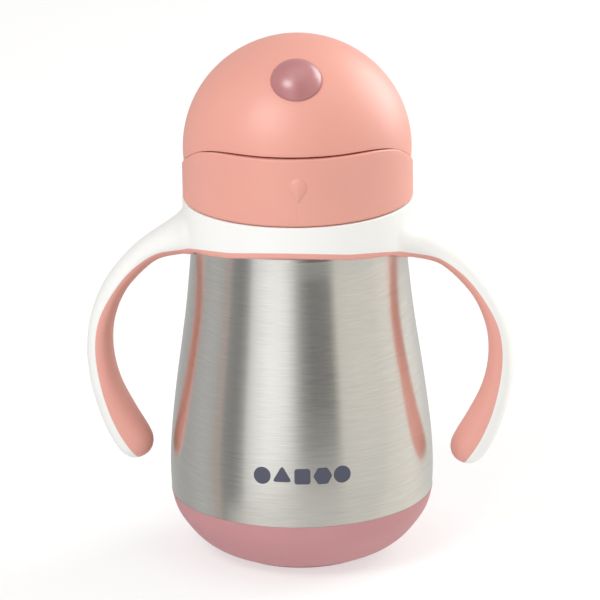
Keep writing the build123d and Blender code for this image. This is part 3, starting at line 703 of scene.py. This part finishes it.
def open_tube():
    """The open tube's surface as a closed grid of points, out along it and back up its bore."""
    path = tube_path()
    gaps = np.hypot(np.diff(path[:, 0]), np.diff(path[:, 1]))
    along = np.concatenate([[0], np.cumsum(gaps)])
    length = along[-1]
    outer = [                            # (distance along the tube, radius)
        (0.0, 6.0),
        (1.1, 6.0),
        (1.35, 5.8),
        (1.6, 4.1),
        (2.6, 3.55),
        (5.0, 3.5),
        (length - 6.0, 3.5),
        (length - 3.6, 3.85),
        (length - 1.6, 3.95),
        (length - 0.7, 3.7),
        (length - 0.1, 3.05),
        (length, 2.5),
    ]
    stations = np.unique(np.concatenate([along, [place for place, radius in outer]]))
    rows = list(zip(stations, np.interp(stations, *zip(*outer))))
    rows.append((length - 0.15, 2.12))
    rows += [(place, TUBE_BORE) for place in stations[::-1] if place < length - 0.5]
    turn = np.linspace(0, FULL_TURN, 44, endpoint=False)
    grid = []
    for place, radius in rows:
        y, z, lean = (np.interp(place, along, path[:, k]) for k in range(3))
        x, side = radius * np.cos(turn), radius * np.sin(turn)
        grid.append(np.stack([x, y + side * math.cos(lean), z + side * math.sin(lean)], -1))
    return np.array(grid) * MM


def build_straw():
    """The tube is drawn open, then folded back about the fold's pivot, each point by its share of the fold."""
    points = open_tube()
    pivot = np.array(FOLD_POINT)
    start, end = pivot - FOLD_REACH * MM * CREASE, pivot + FOLD_REACH * MM * CREASE
    span = end - start

    def folded(share):
        """The points, each turned back about the pivot by its share of the fold."""
        angle = share * FOLD_ANGLE
        y, z = points[..., 1] - pivot[1], points[..., 2] - pivot[2]
        back = points.copy()
        back[..., 1] = pivot[1] + y * np.cos(angle) - z * np.sin(angle)
        back[..., 2] = pivot[2] + y * np.sin(angle) + z * np.cos(angle)
        return back

    # Each point's share depends on where it lies once folded, so it is found by bisection.
    low, high = np.zeros(points.shape[:2]), np.ones(points.shape[:2])
    for _ in range(40):
        middle = (low + high) / 2
        wanted = ease((folded(middle) - start) @ span / (span @ span))
        low = np.where(wanted > middle, middle, low)
        high = np.where(wanted > middle, high, middle)
    mesh = grid_mesh("mouthpiece", folded((low + high) / 2), wrap_rows=True, wrap_columns=True)
    clean(mesh)
    piece = link("mouthpiece", mesh)
    shade(piece, 50)
    finish(piece, None, "silicone", "mouthpiece_stem", "mouthpiece_tip")
    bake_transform(piece)


# ---- row of plain shapes printed on the steel ----------------------------------------------
OUTLINE_POINTS = 96
PRINT_HEIGHT = 35.2                      # height of the row's middle line
PRINT_SIZE = 2.65
PRINT_LAYERS = [                         # (share of the outline, lift off the steel)
    (0.0, 0.05),
    (0.35, 0.05),
    (0.7, 0.05),
    (0.97, 0.05),
    (1.0, 0.03),
    (1.0, -0.15),
]


def polygon(corners, turn, rounding):
    """A regular polygon of size 1 with rounded corners, as radii at even angles."""
    flat = math.cos(math.pi / corners)   # distance from the middle to a side
    radii = []
    for step in range(OUTLINE_POINTS):
        angle = FULL_TURN * step / OUTLINE_POINTS
        local = (angle - turn) % (FULL_TURN / corners) - math.pi / corners
        sharp = flat / math.cos(local)
        radii.append((1 - rounding) * sharp + rounding * min(sharp, 0.5 + 0.5 * flat))
    return radii


def build_print():
    """Five plain shapes, laid on the steel by casting rays at it."""
    wall = NODES["flask_outer_wall"]
    tree = BVHTree.FromPolygons(
        [wall.matrix_world @ vertex.co for vertex in wall.data.vertices],
        [face.vertices for face in wall.data.polygons],
    )
    disc = [1.0] * OUTLINE_POINTS
    shapes = [                           # place along the row, outline, scale
        (-11.9, disc, 0.98),
        (-5.9, polygon(3, math.radians(90), 0.5), 1.28),
        (0.1, polygon(4, math.radians(45), 0.6), 1.26),
        (6.1, polygon(6, 0.0, 0.5), 1.08),
        (12.0, disc, 0.98),
    ]

    def on_steel(x, z, lift):
        """The point of the steel at x round its front and height z, lifted off it."""
        toward = Vector((math.sin(x / 39), -math.cos(x / 39), 0))
        start = 60 * MM * toward + Vector((0, 0, z * MM))
        return tree.ray_cast(start, -toward)[0] + lift * MM * toward

    work = bmesh.new()
    for middle, outline, scale in shapes:
        size = scale * PRINT_SIZE
        rings = []
        for share, lift in PRINT_LAYERS:
            ring = []
            for step, reach in enumerate(outline):
                angle = FULL_TURN * step / OUTLINE_POINTS
                x = middle + share * size * reach * math.cos(angle)
                z = PRINT_HEIGHT + share * size * reach * math.sin(angle)
                ring.append(work.verts.new(on_steel(x, z, lift)))
                if share == 0:           # the middle is one point
                    break
            rings.append(ring)
        hub = rings[0][0]
        for step in range(OUTLINE_POINTS):
            after = (step + 1) % OUTLINE_POINTS
            work.faces.new((hub, rings[1][step], rings[1][after]))
            for inner, outer in zip(rings[1:], rings[2:]):
                work.faces.new((inner[step], outer[step], outer[after], inner[after]))
        work.faces.new(rings[-1])
    bmesh.ops.recalc_face_normals(work, faces=work.faces)
    mesh = bpy.data.meshes.new("front_print")
    work.to_mesh(mesh)
    work.free()
    piece = link("front_print", mesh)
    shade(piece, 40)
    paint(piece, PRINT)
    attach(piece, "flask")


# ---- stage: floor, card, light, camera -----------------------------------------------------
def sheet(name, x_span, y_span, height=0.0):
    """A flat rectangle."""
    corners = [[(x, y, height) for x in x_span] for y in y_span]
    return link(name, grid_mesh(name, corners))


def build_stage():
    """A pale floor that glows a little and stays out of reflections."""
    floor = sheet("floor", (-6, 6), (-6, 6))
    paper = Nodes("pale_floor")
    inputs = paper.shader.inputs
    mottling = paper.noise(paper.place(), 6.0)
    tone = paper.blend(mottling, (0.44, 0.44, 0.44, 1), (0.46, 0.46, 0.46, 1))
    paper.join(tone, inputs["Base Color"])
    inputs["Roughness"].default_value = 0.9
    inputs["Specular IOR Level"].default_value = 0.1
    inputs["Emission Color"].default_value = (1, 1, 1, 1)
    inputs["Emission Strength"].default_value = 0.55
    paint(floor, paper.material)
    floor.visible_glossy = False


def build_card():
    """A lit card lying in front of the cup, out of view, which the foot of the steel reflects."""
    card = sheet("front_card", (-0.07, 0.5), (-0.32, -0.045), 0.0005)
    glow = Nodes("card_glow")
    inputs = glow.shader.inputs
    inputs["Base Color"].default_value = (0, 0, 0, 1)
    inputs["Emission Color"].default_value = (1, 0.985, 0.94, 1)
    inputs["Emission Strength"].default_value = 0.60
    paint(card, glow.material)
    card.visible_camera = False
    card.visible_diffuse = False
    card.visible_shadow = False


def softbox(name, azimuth, elevation, distance, size, power):
    """A rectangular area light aimed at the middle of the cup; azimuth 0 is the front."""
    aim = Vector((0, 0, 0.08))
    round_z, up = math.radians(azimuth), math.radians(elevation)
    toward = Vector(
        (math.sin(round_z) * math.cos(up), -math.cos(round_z) * math.cos(up), math.sin(up))
    )
    light = bpy.data.lights.new(name, "AREA")
    light.shape = "RECTANGLE"
    light.size, light.size_y = size
    light.energy = power
    lamp = bpy.data.objects.new(name, light)
    bpy.context.scene.collection.objects.link(lamp)
    lamp.location = aim + toward * distance
    lamp.rotation_euler = toward.to_track_quat("Z", "Y").to_euler()


def build_light():
    """A light tent whose brightness changes only with the direction round the cup.

    The steel shows it as upright bands, because a place at one azimuth reflects the tent at
    about twice that azimuth.
    """
    world = bpy.data.worlds.new("light_tent")
    bpy.context.scene.world = world
    world.use_nodes = True
    tree = world.node_tree
    background = tree.nodes["Background"]
    direction = tree.nodes.new("ShaderNodeTexCoord")
    parts = tree.nodes.new("ShaderNodeSeparateXYZ")
    tree.links.new(direction.outputs["Generated"], parts.inputs[0])
    angle = tree.nodes.new("ShaderNodeMath")
    angle.operation = "ARCTAN2"
    tree.links.new(parts.outputs["X"], angle.inputs[0])
    minus = tree.nodes.new("ShaderNodeMath")
    minus.operation = "MULTIPLY"
    minus.inputs[1].default_value = -1
    tree.links.new(parts.outputs["Y"], minus.inputs[0])
    tree.links.new(minus.outputs[0], angle.inputs[1])
    degrees = tree.nodes.new("ShaderNodeMapRange")
    degrees.inputs["From Min"].default_value = -math.pi
    degrees.inputs["From Max"].default_value = math.pi
    tree.links.new(angle.outputs[0], degrees.inputs["Value"])
    ramp = tree.nodes.new("ShaderNodeValToRGB")
    ramp.color_ramp.interpolation = "EASE"
    plain, warm, rosy = (1, 1, 1), (1, 0.965, 0.905), (1, 0.88, 0.82)
    stops = [                            # degrees from the front, brightness, tint
        (-180, 0.76, plain),
        (-125, 0.66, plain),
        (-98, 0.76, plain),
        (-88, 0.72, plain),
        (-83, 0.70, rosy),
        (-78, 0.72, rosy),
        (-73, 0.42, plain),
        (-62, 0.37, plain),
        (-55, 0.53, plain),
        (-49, 1.10, plain),
        (-42, 1.30, plain),
        (-30, 1.48, plain),
        (-19, 1.52, plain),
        (-13, 1.46, plain),
        (-7, 1.08, plain),
        (-2, 0.64, plain),
        (4, 0.34, plain),
        (12, 0.21, plain),
        (25, 0.21, plain),
        (30, 0.25, warm),
        (34, 0.58, warm),
        (38, 1.08, warm),
        (60, 1.17, warm),
        (84, 1.19, warm),
        (110, 1.26, warm),
        (180, 0.85, plain),
    ]
    elements = ramp.color_ramp.elements
    for index, (azimuth, value, tint) in enumerate(stops):
        place = (azimuth + 180) / 360
        if index == 0:
            element = elements[0]
        elif index == len(stops) - 1:
            element = elements[-1]
        else:
            element = elements.new(place)
        element.color = (*(value * share for share in tint), 1)
    tree.links.new(degrees.outputs[0], ramp.inputs["Fac"])
    tree.links.new(ramp.outputs["Color"], background.inputs["Color"])
    background.inputs["Strength"].default_value = 0.67
    softbox("top_soft", 0, 80, 1.2, (1.0, 1.0), 1.8)
    softbox("key_left", -38, 43, 1.1, (0.46, 0.4), 4.8)
    softbox("rim_right", 124, 24, 0.9, (0.6, 0.6), 5.2)


def build_camera():
    """Looks down at the cup from the front, as far away as a long lens needs."""
    down = math.radians(17.71)
    roll = math.radians(-0.841)
    aim = Vector((0.15, 0, 77.44)) * MM
    distance = 1.55                      # metres
    forward = Vector((0, math.cos(down), -math.sin(down)))
    level_up = Vector((0, math.sin(down), math.cos(down)))
    right = math.cos(roll) * Vector((1, 0, 0)) + math.sin(roll) * level_up
    up = -math.sin(roll) * Vector((1, 0, 0)) + math.cos(roll) * level_up
    data = bpy.data.cameras.new("camera")
    data.sensor_width = 36.0
    data.lens = 310.0
    data.clip_start, data.clip_end = 0.05, 50.0
    camera = bpy.data.objects.new("camera", data)
    bpy.context.scene.collection.objects.link(camera)
    turn = Matrix((right, up, -forward)).transposed().to_4x4()
    camera.matrix_world = Matrix.Translation(aim - forward * distance) @ turn
    bpy.context.scene.camera = camera
    bpy.context.scene.view_settings.view_transform = "Standard"


build_handle()
build_collar()
build_cover()
build_button()
build_straw()
build_print()
build_stage()
build_card()
build_light()
build_camera()
